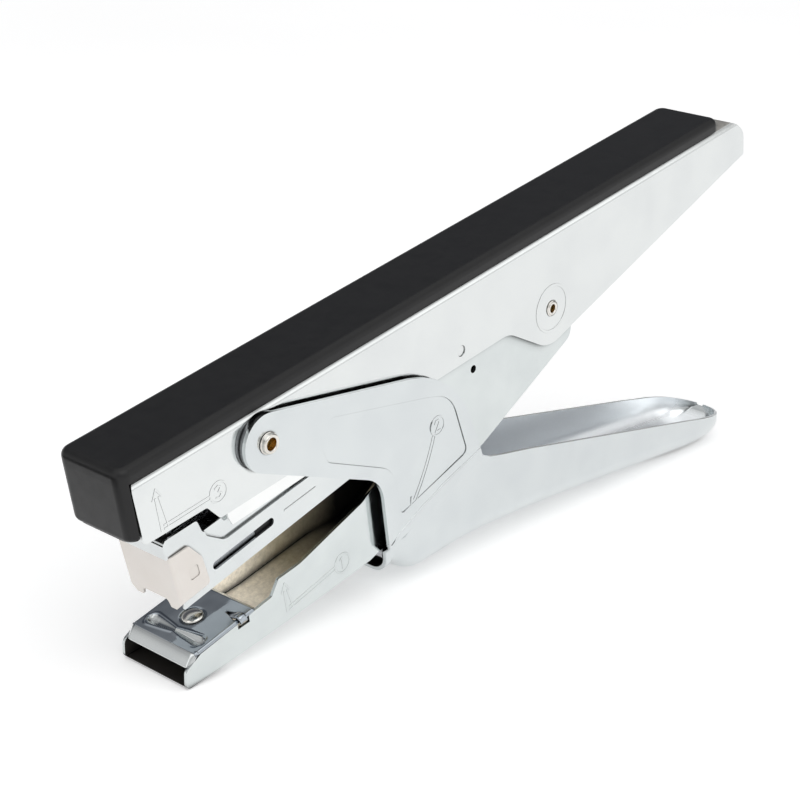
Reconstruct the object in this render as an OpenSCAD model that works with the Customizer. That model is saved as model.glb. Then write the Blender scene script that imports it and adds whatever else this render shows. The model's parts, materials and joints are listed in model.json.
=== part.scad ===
// Hand plier stapler: sprung pliers that press a stapling magazine against an anvil arm.
// Drawn in the tool frame: X runs along the cover from nose to tail, Y is across the width, and
// Z is square to the cover, whose top front edge is the origin. stand() then sets it on a table.

/* [Cover] */
// Length of the plastic cover
cover_len = 196.6; // [192:0.1:198]
// Width of the plastic cover
cover_w = 18; // [18:0.1:18.4]
// Thickness of the cover above the body
cover_t = 3; // [2.8:0.1:3.2]
// How far the hood reaches down in front of the body
hood_drop = 15.9; // [14:0.1:16.5]

/* [Sheet metal] */
// Outer width of the upper body
body_w = 17.9; // [17.8:0.05:18]
// Sheet thickness of the upper body
body_t = 0.8; // [0.7:0.05:0.8]
// Outer width across the handle's cheeks
cheek_w = 21.6; // [21.6:0.1:22]
// Sheet thickness of the handle
handle_t = 0.85; // [0.7:0.05:0.9]
// Outer width of the anvil arm at its front
arm_w = 18.8; // [18.6:0.1:19]
// Outer width of the anvil arm between the body's plates
arm_rear_w = 15.8; // [15.6:0.1:15.8]
// Sheet thickness of the anvil arm
arm_t = 0.7; // [0.6:0.05:0.7]
// Outer width of the magazine below its pressed step
mag_w = 14.4; // [14.2:0.1:14.4]
// Sheet thickness of the magazine
mag_t = 0.5; // [0.4:0.05:0.5]

/* [Pivots and motion] */
// Front pivot, along the tool
front_x = 34.9; // [34.5:0.1:35.5]
// Rear pivot, along the tool
rear_x = 126.8; // [126.5:0.1:127]
// How far the handle closes, in degrees
squeeze = 18; // [12:1:18]
// How far the anvil arm rises in that travel, in degrees
arm_lift = 7.75; // [6:0.25:7.75]
// Pitch of the magazine at rest, nose down, in degrees
mag_pitch = 5.43; // [5:0.01:5.5]
// Tilt of the whole tool as it stands on a table, in degrees
stand_tilt = 11.5; // [11:0.1:12]

/* [Staples] */
// Outer width of a staple's crown
crown_w = 12.7; // [12.5:0.1:12.9]
// Height of a staple
staple_h = 6; // [5.6:0.1:6]
// Length of the strip that is loaded
strip_len = 19.8; // [10:0.5:20]

/* [Hidden] */
$fn = 64;

front_pivot = [front_x, -10.2];
rear_pivot = [rear_x, -21.8];
body_top = -cover_t;
far = 60;          // longer than any cut needs to be
fit = 0.05;        // radial running clearance of a pivot
rest_x = 106.46;   // from the tool's origin to the middle of the standing tool, along the table
rest_z = 50.255;   // height of the tool's origin above the table

front_r = 2;       // front rivet's shank
front_sleeve_r = 3.1;
rear_r = 1.5;      // rear rivet's shank
rear_sleeve_r = 3;
sleeve_half = body_w / 2 - body_t - 0.02;

// ---------- small geometry kit ----------

function unit(v) = v / norm(v);
function xy(v) = [v[0], v[1]];
function swing(c, a) = ((c - a + 540) % 360) - 180;

// Points of a corner at b between a and c, rounded to radius r
function corner(a, b, c, r) = r <= 0 ? [b] : let(
    u = unit(a - b), v = unit(c - b), half = acos(u * v) / 2,
    o = b + unit(u + v) * r / sin(half),
    p = b + u * r / tan(half) - o, q = b + v * r / tan(half) - o,
    a0 = atan2(p.y, p.x), turn = swing(atan2(q.y, q.x), a0), n = max(2, ceil(abs(turn) / 10)))
    [for (k = [0:n]) o + r * [cos(a0 + turn * k / n), sin(a0 + turn * k / n)]];

// A closed outline from corners [x, z, radius]
function outline(v) = let(n = len(v)) [for (i = [0:n - 1])
    each corner(xy(v[(i + n - 1) % n]), xy(v[i]), xy(v[(i + 1) % n]), v[i][2])];

// Turn point p by a degrees about c, from +X towards +Z
function turned(p, c, a) = let(d = p - c)
    c + [d.x * cos(a) - d.y * sin(a), d.x * sin(a) + d.y * cos(a)];

// Smooth step between 0 and 1
function ease(t) = let(s = min(1, max(0, t))) s * s * (3 - 2 * s);

// Extrude a side outline across the width, centred on the middle plane
module slab(width) rotate([90, 0, 0]) linear_extrude(width, center = true) children();

// The same between two depths y0 < y1
module plate(y0, y1) translate([0, y1, 0]) rotate([90, 0, 0]) linear_extrude(y1 - y0) children();

// Extrude a cross-section, drawn with its width along X and its height along Y, along the tool
module along(x0, x1) translate([x0, 0, 0]) rotate([90, 0, 90]) linear_extrude(x1 - x0) children();

// A round bar or hole along Y through a side point
module bar(p, r, width) translate([p.x, 0, p.y]) rotate([90, 0, 0]) cylinder(r = r, h = width, center = true);

module both_sides() {
    children();
    mirror([0, 1, 0]) children();
}

// A wire swept along points, as one closed polyhedron; axis is square to most of its run
module wire(pts, r, axis, sides = 6) {
    n = len(pts);
    dirs = [for (i = [0:n - 1]) unit(pts[min(n - 1, i + 1)] - pts[max(0, i - 1)])];
    rings = [for (i = [0:n - 1]) let(
        side = unit(cross(dirs[i], axis)),
        up = cross(side, dirs[i]))
        for (k = [0:sides - 1]) pts[i] + r * (cos(360 * k / sides) * side + sin(360 * k / sides) * up)];
    polyhedron(rings, concat(
        [[for (k = [sides - 1:-1:0]) k]],
        [for (i = [0:n - 2], k = [0:sides - 1]) let(a = i * sides, b = a + sides, j = (k + 1) % sides)
            each [[a + k, b + j, b + k], [a + k, a + j, b + j]]],
        [[for (k = [0:sides - 1]) (n - 1) * sides + k]]));
}

// Set the tool down on its anvil arm and its handle's tail
module stand() translate([-rest_x, 0, rest_z]) rotate([0, -stand_tilt, 0]) children();

// The magazine's own frame: level along the magazine, and the tool frame at the rear pivot
module magazine_frame()
    translate([rear_pivot.x, 0, rear_pivot.y]) rotate([0, -mag_pitch, 0])
        translate([-rear_pivot.x, 0, -rear_pivot.y]) children();

// ---------- pressed marks ----------

mark_h = 0.2;      // how far a pressed mark stands out
mark_w = 0.32;     // width of its lines

module stroke(a, b) {
    d = b - a;
    translate(a) rotate(atan2(d.y, d.x)) translate([-mark_w / 2, -mark_w / 2])
        square([norm(d) + mark_w, mark_w]);
}

module strokes(pts) for (i = [0:len(pts) - 2]) stroke(pts[i], pts[i + 1]);

module ring(r, w = mark_w) difference() {
    circle(r);
    circle(r - w);
}

module numeral(n) {
    if (n == 1) strokes([[-0.5, 0.9], [0, 1.3], [0, -1.3]]);
    if (n == 2) strokes([[-0.75, 0.7], [-0.4, 1.25], [0.4, 1.25], [0.75, 0.7], [-0.75, -1.25], [0.8, -1.25]]);
    if (n == 3) strokes([[-0.7, 1], [0, 1.3], [0.7, 0.8], [0, 0.05], [0.75, -0.6], [0, -1.3], [-0.7, -1]]);
}

module numbered_ring(at, n) translate(at) {
    ring(2.35);
    numeral(n);
}

// An arrow that rises from the end of a double rule, which a numbered ring closes
module lift_mark(foot, tip, rule_end, n) {
    head = unit(foot - tip);
    across = [head.y, -head.x];
    strokes([tip + 1.9 * head + 1.1 * across, tip, tip + 1.9 * head - 1.1 * across]);
    for (s = [-0.45, 0.45]) strokes([tip + 1.9 * head + s * across, foot + s * across + [0.45 - s, 0]]);
    for (s = [0, 0.8]) strokes([foot + [0.4, s], rule_end + [-2.3, s - 0.6]]);
    numbered_ring(rule_end, n);
}

// ---------- upper body and what is fixed to it ----------

body_half = body_w / 2;
body_end = 208.1;
tail_r = 9;
belly_r = 8.7;
belly_tip = rear_pivot + [-2, -9.32];
body_side = [[2.2, body_top, 2.2], [body_end + 0.6, body_top, tail_r], [body_end, -13.3, 0.9],
             [belly_tip.x, belly_tip.y, belly_r], [111.2, -21.4, 7], [21.8, -21, 1],
             [18.9, -17.1, 0.8], [2.9, -16.8, 1]];
body_hollow = [[-5, body_top - body_t, 0], [body_end - 0.2, body_top - body_t, tail_r - body_t],
               [body_end - 0.7, -13, 0], [body_end - 0.7, -far, 0], [-5, -far, 0]];
lug_x = [27, 118, 180];
lug_size = [6, 5];
driver_x = 10.55;
driver_t = 0.6;
driver_rivet_x = [14.5, 20.5];
spring_rivet_x = 98;
rivet_r = 1.2;

module body_section(half, top, r)
    polygon(outline([[-half, top, r], [half, top, r], [half, -far, 0], [-half, -far, 0]]));

// Everything above and below a plan that is rounded at the rear
module body_plan(end, half, r) translate([0, 0, -far]) linear_extrude(2 * far)
    polygon(outline([[-9, -half, 0], [end, -half, r], [end, half, r], [-9, half, 0]]));

module top_cover() color([0.13, 0.13, 0.135]) {
    round_r = 2;
    wall = 1.4;
    hood_t = 2;
    cell_len = 35;
    difference() {
        intersection() {
            slab(cover_w + 1) polygon(outline([[0, 0, round_r], [cover_len, 0, round_r],
                [cover_len, body_top, 0], [hood_t, body_top, 0], [hood_t + 0.3, -hood_drop, 0.4],
                [0.3, -hood_drop, 0.6]]));
            along(-1, cover_len + 1) polygon(outline([[-cover_w / 2, 0, round_r], [cover_w / 2, 0, round_r],
                [cover_w / 2, -hood_drop, 1.4], [-cover_w / 2, -hood_drop, 1.4]]));
            translate([0, 0, -far / 2]) linear_extrude(far) polygon(outline([[0, -cover_w / 2, 1.9],
                [cover_len, -cover_w / 2, 2], [cover_len, cover_w / 2, 2], [0, cover_w / 2, 1.9]]));
        }
        // hollow underside, crossed by ribs
        for (i = [0:4]) translate([4 + i * (cell_len + 2.6), -cover_w / 2 + wall, body_top - 1])
            cube([cell_len, cover_w - 2 * wall, 1 + cover_t - wall]);
    }
    for (x = lug_x) translate([x, 0, body_top - 0.3])
        cube([lug_size.x, lug_size.y, 4], center = true);
}

module upper_body() color([0.86, 0.87, 0.88]) {
    lug_gap = 0.3;
    difference() {
        intersection() {
            slab(body_w + 1) polygon(outline(body_side));
            along(-1, body_end + 2) body_section(body_half, body_top, 2.2);
            body_plan(body_end + 0.6, body_half, 2);
        }
        intersection() {
            slab(body_w) polygon(outline(body_hollow));
            along(-6, body_end + 4) body_section(body_half - body_t, body_top - body_t, 1.4);
            body_plan(body_end - 0.2, body_half - body_t, 1.2);
        }
        bar(front_pivot, front_r, far);
        bar(rear_pivot, rear_r, far);
        for (x = lug_x) translate([x, 0, body_top])
            cube([lug_size.x + lug_gap, lug_size.y + lug_gap, far / 8], center = true);
        for (x = concat(driver_rivet_x, [spring_rivet_x])) translate([x, 0, body_top - 2])
            cylinder(r = rivet_r, h = 4);
        both_sides() plate(-body_half - 1, -body_half + 0.25) translate([94.9, -18.2]) circle(1.3);
    }
    // pressed boss round the rear rivet and the opening mark
    both_sides() plate(-body_half - mark_h, -body_half + 0.1) {
        translate(rear_pivot) difference() {
            circle(5.8);
            circle(5.2);
        }
    }
    plate(-body_half - mark_h, -body_half + 0.1)
        lift_mark([7.9, -15.9], [7.6, -7], [22.3, -15.3], 3);
}

module guide_rail() color([0.8, 0.81, 0.82]) {
    rail_half = 8.1;
    rail_t = 0.5;
    side = [[24.4, body_top - body_t - 0.05, 0], [60, body_top - body_t - 0.05, 0], [60, -24.2, 2],
            [25.2, -24.8, 0.5], [24.4, -22.6, 0.4]];
    difference() {
        intersection() {
            slab(2 * rail_half) polygon(outline(side));
            along(20, 61) body_section(rail_half, body_top - body_t - 0.05, 1.5);
        }
        translate([20, -rail_half + rail_t, -far + body_top - body_t - 0.65])
            cube([45, 2 * (rail_half - rail_t), far]);
        bar(front_pivot, front_sleeve_r + 0.05, far);
        translate([lug_x[0], 0, body_top]) cube([lug_size.x + 1, lug_size.y + 1, far / 6], center = true);
    }
}

// A hollow rivet across the tool: shank, a flange on each side and an open collar beyond it
module hollow_rivet(shank_r, seat, flange_r, flange_t, collar_r, proud, hole_r, hole_depth) {
    difference() {
        union() {
            cylinder(r = shank_r, h = 2 * seat + 0.2, center = true);
            for (s = [0, 1]) mirror([0, 0, s]) {
                translate([0, 0, seat]) cylinder(r = flange_r, h = flange_t);
                translate([0, 0, seat]) cylinder(r = collar_r, h = proud);
            }
        }
        for (s = [0, 1]) mirror([0, 0, s]) translate([0, 0, seat + proud - hole_depth])
            cylinder(r = hole_r, h = hole_depth + 1);
    }
}

module at_pivot(p) translate([p.x, 0, p.y]) rotate([90, 0, 0]) children();

module front_rivet() color([0.72, 0.66, 0.52])
    at_pivot(front_pivot) hollow_rivet(front_r - 0.02, cheek_w / 2 + 0.05, 2.35, 0.3, 2.1, 1.15, 1.3, 3.4);

module rear_rivet() color([0.72, 0.66, 0.52])
    at_pivot(rear_pivot) hollow_rivet(rear_r - 0.02, body_half + 0.01, 1.9, 0.25, 1.65, 0.4, 0.95, 1.2);

module sleeve(p, r, hole) at_pivot(p) difference() {
    cylinder(r = r, h = 2 * sleeve_half, center = true);
    cylinder(r = hole, h = far, center = true);
}

module front_sleeve() color("silver") sleeve(front_pivot, front_sleeve_r, front_r);
module rear_sleeve() color("silver") sleeve(rear_pivot, rear_sleeve_r, rear_r);

washer_r = 6.1;
cheek_in = cheek_w / 2 - handle_t;

module pivot_washers() color("lightgray") both_sides() difference() {
    plate(-cheek_in + 0.06, -body_half - 0.01) translate(front_pivot) circle(washer_r);
    bar(front_pivot, front_r, far);
}

module driver_blade() color([0.55, 0.56, 0.58]) {
    blade_half = 6.1;
    tip = -28.6;
    under = body_top - body_t - 0.02;
    difference() {
        slab(2 * blade_half) polygon(outline([[driver_x, under, 0.9], [23, under, 0],
            [23, under - driver_t, 0], [driver_x + driver_t, under - driver_t, 0.3],
            [driver_x + driver_t, tip, 0], [driver_x, tip, 0]]));
        for (x = driver_rivet_x) translate([x, 0, -8]) cylinder(r = rivet_r, h = 8);
    }
}

module driver_block() color([0.3, 0.3, 0.31]) difference() {
    block_top = body_top - body_t - driver_t - 0.04;
    slab(11.6) polygon(outline([[driver_x + driver_t + 0.02, block_top, 0], [22.6, block_top, 0],
        [22.6, -9, 1], [17, -13.6, 1], [driver_x + driver_t + 0.02, -13.6, 0]]));
    for (x = driver_rivet_x) translate([x, 0, -20]) cylinder(r = rivet_r, h = 20);
}

// Snap-headed rivet that hangs from the body's top
module top_rivet(x, end) translate([x, 0, 0]) {
    translate([0, 0, end]) cylinder(r = rivet_r - 0.02, h = body_top - end);
    translate([0, 0, body_top]) cylinder(r1 = 2.1, r2 = 1.3, h = 0.9);
}

module driver_rivets() color("silver") for (x = driver_rivet_x) top_rivet(x, x < 17 ? -13.4 : -10);

module spring_rivet() color("silver") {
    top_rivet(spring_rivet_x, -5.2);
    translate([spring_rivet_x, 0, -5.4]) cylinder(r = 2, h = 0.8);
}

// Leaf that pushes the magazine down, away from the body
module magazine_spring() color([0.5, 0.52, 0.56]) {
    leaf_t = 0.5;
    root = [103, -4.1];
    reach = 27;
    drop = 14.2;
    steps = 14;
    curve = [for (k = [0:steps]) let(t = k / steps)
        root - [10 + reach * t - 2 * t, drop * ease(t * 0.93)]];
    difference() {
        slab(12.6) polygon(concat([root - [0, -0.25], root - [0, leaf_t - 0.25]],
            [for (p = curve) p - [0, leaf_t - 0.25]],
            [for (k = [steps:-1:0]) curve[k] + [0, 0.25]]));
        translate([spring_rivet_x, 0, -8]) cylinder(r = rivet_r, h = 8);
    }
}

coil_wire_r = 0.6;

// Torsion spring on the rear sleeve: one leg under the body's top, one on the anvil arm's floor
module arm_spring() color([0.45, 0.46, 0.5]) {
    coil_r = 4.1;
    turns = 5;
    pitch = 1.55;
    steps = 18;
    last = turns * steps + 4;
    coil = [for (i = [0:last]) let(a = 100 + 360 * i / steps)
        [rear_pivot.x + coil_r * cos(a), (i / steps - turns / 2 - 0.1) * pitch, rear_pivot.y + coil_r * sin(a)]];
    wire(concat([[109, coil[0].y - 0.4, body_top - body_t - 0.7], [118, coil[0].y - 0.3, -9.5]], coil,
        [[116, coil[last].y + 0.3, -31], [107.5, coil[last].y + 0.4, -39.4]]), coil_wire_r, [0, 1, 0], 8);
}

// ---------- lower handle ----------

fold_a = [65.1, -51.6];     // front end of the fold between cheek and grip
fold_b = [97.2, -45.6];     // its rear end
cheek_side = [[front_x + 1.7, front_pivot.y + 5.96, 0], [90.3, -19.9, 26], [97.4, -45.9, 1.6],
              [64.8, -51.9, 0.3], [64.6, -34.6, 8], [front_x - 3.2, front_pivot.y - 5.3, 0]];
cheek_r = 6.2;
panel_side = [[51.6, -12.9, 2], [80.5, -22.2, 7], [88.5, -25.3, 9], [92.2, -41.4, 1.5], [69.4, -45.6, 1],
              [68.2, -33.6, 7], [50, -22.6, 2], [48.8, -19, 2]];

// Sections of the grip: [x, half width, top, floor, corner radius], the first few under the fold
grip = [[64.9, 9.15, -51, -59.4, 4.4], [66.4, 9.15, -50.7, -59.6, 4.4], [67.6, 8.95, -50.5, -59.5, 4.6],
        [69.2, 9.3, -50.2, -60, 5], [71.5, 10, -49.8, -62.2, 6], [75, 10.35, -49.1, -64.6, 7],
        [80, 10.35, -48.2, -65.5, 7.6], [90, 10.35, -46.3, -66.4, 7.6], [97, 10.35, -45.1, -67.5, 7.6],
        [100, 10.35, -47, -68, 7.6], [114, 10.35, -52.1, -71, 7.6], [137, 10.35, -60.9, -76.5, 7.6],
        [161, 10.35, -70.1, -82.8, 7.6], [178, 10.35, -76.6, -87.3, 7.6], [184, 10.3, -79, -88.7, 7.6],
        [188, 10.15, -80.5, -89.5, 7.6], [191.5, 9.7, -81.8, -89.9, 7.4], [194.5, 8.7, -82.9, -89.7, 6.2],
        [197, 6.9, -83.9, -88.9, 4.6], [198.6, 4.8, -84.5, -87.7, 2.8], [199.4, 2.6, -84.8, -86.6, 1.5],
        [199.6, 1.3, -84.9, -85.8, 0.7]];
jog_end = 97.6;             // behind this the grip has no fold to the cheek

// Smooth value of column c between sections i and i + 1 (a cubic through the sections)
function slope(i, c) = let(a = grip[max(0, i - 1)], b = grip[min(len(grip) - 1, i + 1)])
    (b[c] - a[c]) / (b[0] - a[0]);
function between(i, t, c) = let(w = grip[i + 1][0] - grip[i][0], t2 = t * t, t3 = t2 * t)
    (2 * t3 - 3 * t2 + 1) * grip[i][c] + (t3 - 2 * t2 + t) * w * slope(i, c)
    + (3 * t2 - 2 * t3) * grip[i + 1][c] + (t3 - t2) * w * slope(i + 1, c);
function straight(i, t, c) = grip[i][c] + t * (grip[i + 1][c] - grip[i][c]);

// One side of the grip's cross-section, from its rim to the middle of its floor. Under the fold,
// the rim is let into the cheek and the wall steps in from there
function half_section(w, top, floor_z, corner_r, under_fold, inset) = let(
    fw = w - inset, fz = floor_z + inset,
    r = max(0.3, min(corner_r, w - 0.6, (top - floor_z) * 0.85) - inset),
    rim = under_fold ? (inset > 0 ? cheek_in + 0.1 : cheek_w / 2 - 0.1) : fw,
    wall = top - fz - r)
    concat([[rim, top], [rim, top - min(1.2 + 0.3 * inset, wall / 3)],
            [fw, top - min(2.6 + 0.3 * inset, wall * 2 / 3)]],
           [for (k = [0:8]) [fw - r + r * cos(11.25 * k), fz + r - r * sin(11.25 * k)]]);

function ring_at(x, w, top, floor_z, corner_r) = let(
    o = half_section(w, top, floor_z, corner_r, x < jog_end, 0),
    i = half_section(w, top, floor_z, corner_r, x < jog_end, min(handle_t, (top - floor_z) * 0.45)),
    n = len(o) - 1)
    [for (p = concat(
        o, [for (k = [n:-1:0]) [-o[k].x, o[k].y]],
        [for (k = [0:n]) [-i[k].x, i[k].y]], [for (k = [n:-1:0]) i[k]])) [x, p.x, p.y]];

module grip_shell() {
    parts = 3;
    rings = concat([for (i = [0:len(grip) - 2], k = [0:parts - 1]) let(t = k / parts)
        ring_at(straight(i, t, 0), between(i, t, 1), between(i, t, 2), between(i, t, 3), straight(i, t, 4))],
        [let(e = grip[len(grip) - 1]) ring_at(e[0], e[1], e[2], e[3], e[4])]);
    m = len(rings[0]);
    n = len(rings);
    half = m / 2;
    polyhedron([for (s = rings) each s], concat(
        [for (k = [0:half - 2]) [k, m - 1 - k, m - 2 - k, k + 1]],
        [for (i = [0:n - 2], k = [0:m - 1]) let(j = (k + 1) % m)
            [i * m + k, i * m + j, (i + 1) * m + j, (i + 1) * m + k]],
        [for (k = [0:half - 2]) let(b = (n - 1) * m) [b + k + 1, b + m - 2 - k, b + m - 1 - k, b + k]]));
}

module lower_handle() color([0.82, 0.84, 0.87]) {
    panel_depth = 0.2;
    both_sides() difference() {
        plate(-cheek_w / 2, -cheek_in) {
            polygon(outline(cheek_side));
            translate(front_pivot) circle(cheek_r);
        }
        plate(-cheek_w / 2 - 1, -cheek_w / 2 + panel_depth) polygon(outline(panel_side));
        bar(front_pivot, front_r + fit, far);
    }
    grip_shell();
    plate(-cheek_w / 2 - mark_h + panel_depth, -cheek_w / 2 + panel_depth + 0.05) turn_mark();
}

// The mark that shows which way the handle turns: an arc about the front pivot
module turn_mark() {
    r = 52.6;
    start = -25.5;
    stop = -41;
    step = (stop - start) / 8;
    at = [for (k = [0:8]) front_pivot + r * [cos(start + step * k), sin(start + step * k)]];
    numbered_ring(front_pivot + r * [cos(start + 2.7), sin(start + 2.7)], 2);
    strokes(at);
    strokes([for (p = at) p + 0.9 * unit(front_pivot - p)]);
    tip = front_pivot + (r - 0.45) * [cos(stop - 2.6), sin(stop - 2.6)];
    strokes([at[8] + [0.6, -0.9], tip, at[8] + 0.9 * unit(front_pivot - at[8]) + [-0.8, 0.8]]);
}

bar_rest = [66.5, -54.6];
bar_r = 1.6;

module lift_bar() color([0.5, 0.5, 0.52]) bar(bar_rest, bar_r, 16);

// ---------- anvil arm ----------

arm_half = arm_w / 2;
arm_rear_half = arm_rear_w / 2;
bar_gap = 0.3;

// Where the lift bar stands in the arm's frame once the handle has closed by a degrees
function bar_in_arm(a) = turned(turned(bar_rest, front_pivot, a), rear_pivot, a * arm_lift / squeeze);
function arm_edge(a) = let(d = unit(bar_in_arm(a + 0.2) - bar_in_arm(a - 0.2)))
    bar_in_arm(a) + (bar_r + bar_gap) * [-d.y, d.x];

// The arm's lower edge: straight under the anvil, then the curve that rides on the lift bar
arm_low = concat([[6.2, -52.6, 1.2], [38, -53.6, 30], [58.9, -52.6, 20]],
    [for (k = [0:7]) let(p = arm_edge(squeeze * k / 6.4)) [p.x, p.y, 0]],
    [[90, -46.6, 6], [100.5, -44.9, 12], [134.6, -32.5, 3]]);
arm_high = [[136.5, -13, 7], [97, -12.6, 8], [66, -36.4, 10], [39.9, -41.9, 12], [33.7, -42, 0.8],
            [31.2, -45, 0.6], [11.1, -46.6, 0.8], [6.9, -48.4, 1.6]];

module arm_plan(grow) polygon(outline([
    [0, -arm_half + grow, 0], [59.5, -arm_half + grow, 4], [67, -arm_rear_half + grow, 4],
    [140, -arm_rear_half + grow, 0], [140, arm_rear_half - grow, 0], [67, arm_rear_half - grow, 4],
    [59.5, arm_half - grow, 4], [0, arm_half - grow, 0]]));

function raised(v, h) = [for (p = v) [p[0], p[1] + h, 0]];

module anvil_arm() color([0.84, 0.85, 0.86]) {
    floor_end = 108;
    floor_pts = [for (p = raised(arm_low, arm_t)) if (p.x < floor_end) p];
    difference() {
        intersection() {
            slab(arm_w + 1) polygon(outline(concat(arm_low, arm_high)));
            translate([0, 0, -far]) linear_extrude(2 * far) arm_plan(0);
            union() {
                along(0, 65) polygon(outline([[-arm_half, -54.2, 2.2], [arm_half, -54.2, 2.2],
                    [arm_half, 0, 0], [-arm_half, 0, 0]]));
                along(64.9, 140) square([far, 2 * far], center = true);
            }
        }
        intersection() {
            slab(arm_w) polygon(outline(concat([[-5, floor_pts[0].y, 0]], floor_pts,
                [[floor_end, -60, 0], [150, -60, 0], [150, 5, 0], [-5, 5, 0]])));
            translate([0, 0, -far]) linear_extrude(2 * far) arm_plan(arm_t);
        }
        bar(rear_pivot, rear_sleeve_r + fit, far);
        bar([99.5, -25.1], 0.9, far);
        // notch that the anvil plate's hook drops into
        both_sides() translate([21.4, -arm_half - 1, -47]) cube([3.2, 2, 3]);
    }
    plate(-arm_half - mark_h, -arm_half + 0.1) lift_mark([35.2, -50.6], [35, -43.9], [51.7, -48.4], 1);
}

anvil_slope = 4;
anvil_front = [10.4, -46.1];
anvil_t = 1;

module anvil_plate() color([0.72, 0.73, 0.75]) {
    half = arm_half - arm_t - 0.05;
    length = 17;
    pocket_w = 2.8;
    pocket_len = 7.4;
    sunk = 0.45;
    translate([anvil_front.x, 0, anvil_front.y]) rotate([0, -anvil_slope, 0]) difference() {
        union() {
            // plate with a lip that curls down at the front
            slab(2 * half) polygon(outline([[-1.2, 0, 1.2], [length, 0, 0.3], [length, -anvil_t, 0.2],
                [0.4, -anvil_t, 0.4], [-1.9, -3.2, 0.2], [-2.9, -2.9, 0.2]]));
            // pressed undersides of the pockets
            for (s = [-1, 1]) translate([3.6, s * pocket_len / 2, sunk]) intersection() {
                pocket(pocket_w + 0.9, pocket_len + 1);
                translate([-5, -5, -5 - sunk - 0.1]) cube([10, 10, 5]);
            }
            // hooks that hold it in the arm's walls
            for (s = [-1, 1]) translate([12.4, s * (half + 0.3), -0.4]) cube([2.2, 1.6, 0.8], center = true);
        }
        // two clinching pockets that turn the staple's legs inwards
        for (s = [-1, 1]) translate([3.6, s * pocket_len / 2, sunk]) pocket(pocket_w, pocket_len);
        translate([8.4, 0, -2]) cylinder(r = 1.3, h = 3);
    }
}

// A pointed trough across the plate, the shape that a staple's leg slides along and curls in
module pocket(width, length) {
    bow_r = (length * length / 4 + width * width / 4) / width;
    rotate([90, 0, 0]) rotate_extrude() intersection() {
        translate([width / 2 - bow_r, 0]) circle(bow_r);
        translate([0, -length / 2]) square([width, length]);
    }
}

module anvil_rivet() color([0.8, 0.8, 0.8])
    translate([anvil_front.x, 0, anvil_front.y]) rotate([0, -anvil_slope, 0]) translate([8.4, 0, 0]) {
        intersection() {
            translate([0, 0, -2.1]) sphere(r = 3.1);
            translate([-3, -3, 0.01]) cube(6);
        }
        translate([0, 0, -5]) cylinder(r = 1.28, h = 5.02);
        translate([0, 0, -5.2]) cylinder(r = 2, h = 0.7);
    }

// ---------- magazine, in its own frame ----------

mag_floor = -25.8;
mag_half = mag_w / 2;
mag_rear_half = 6.95;        // between the anvil arm's ears
mag_top_half = 6.6;          // above the pressed step
throat_back = 11.5;          // the driver falls in front of this
mag_side = [[8.8, -8.6, 1.4], [18, -9.4, 0.8], [18.7, -13, 1.2], [122, -15.6, 4], [131.6, -15.6, 4],
            [131.6, mag_floor, 3.9], [10, mag_floor, 0.2], [10, -12.8, 0], [8.8, -12.8, 0]];
step_side = [[8, -30, 0], [8, -8, 0], [18.8, -8, 0], [19.3, -14, 1.5], [23.4, -17.8, 3], [61, -18.5, 1.5],
             [63, -30, 0]];
rear_step_side = [[58, -30, 0], [58, -18.4, 0], [110, -18.4, 0], [112, -30, 0]];
mag_room = [[9.3, 0], [150, 0], [150, mag_floor + mag_t], [throat_back, mag_floor + mag_t],
            [throat_back, -30], [9.3, -30]];

// Side outline of the magazine that is wide below its step: a front band and a narrower rear one
module mag_band(half, side, lower) intersection() {
    slab(2 * half) children();
    slab(mag_w + 1) translate([lower * 0.6, -lower]) polygon(outline(side));
}

module magazine() color([0.85, 0.86, 0.87]) magazine_frame() {
    difference() {
        union() {
            slab(2 * mag_top_half) polygon(outline(mag_side));
            mag_band(mag_half, step_side, 0) polygon(outline(mag_side));
            mag_band(mag_rear_half, rear_step_side, 0) polygon(outline(mag_side));
        }
        slab(2 * (mag_top_half - mag_t)) polygon(mag_room);
        mag_band(mag_half - mag_t, step_side, mag_t) polygon(mag_room);
        mag_band(mag_rear_half - mag_t, rear_step_side, mag_t) polygon(mag_room);
        bar(rear_pivot, rear_sleeve_r + fit, far);
        // open floor where the arm's spring passes
        translate([111, -mag_top_half + mag_t, mag_floor - 1]) cube([25, 2 * (mag_top_half - mag_t), 5]);
        // slots that show the staples
        slab(far) polygon(outline([[19, -20.7, 0.9], [36.2, -20.7, 0.9], [36.2, -22.55, 0.9], [19, -22.55, 0.9]]));
    }
    plate(-mag_half - 0.12, -mag_half + 0.1) strokes([[39.5, -21.4], [48.5, -21.6]]);
}

nose_half = 7.75;

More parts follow.
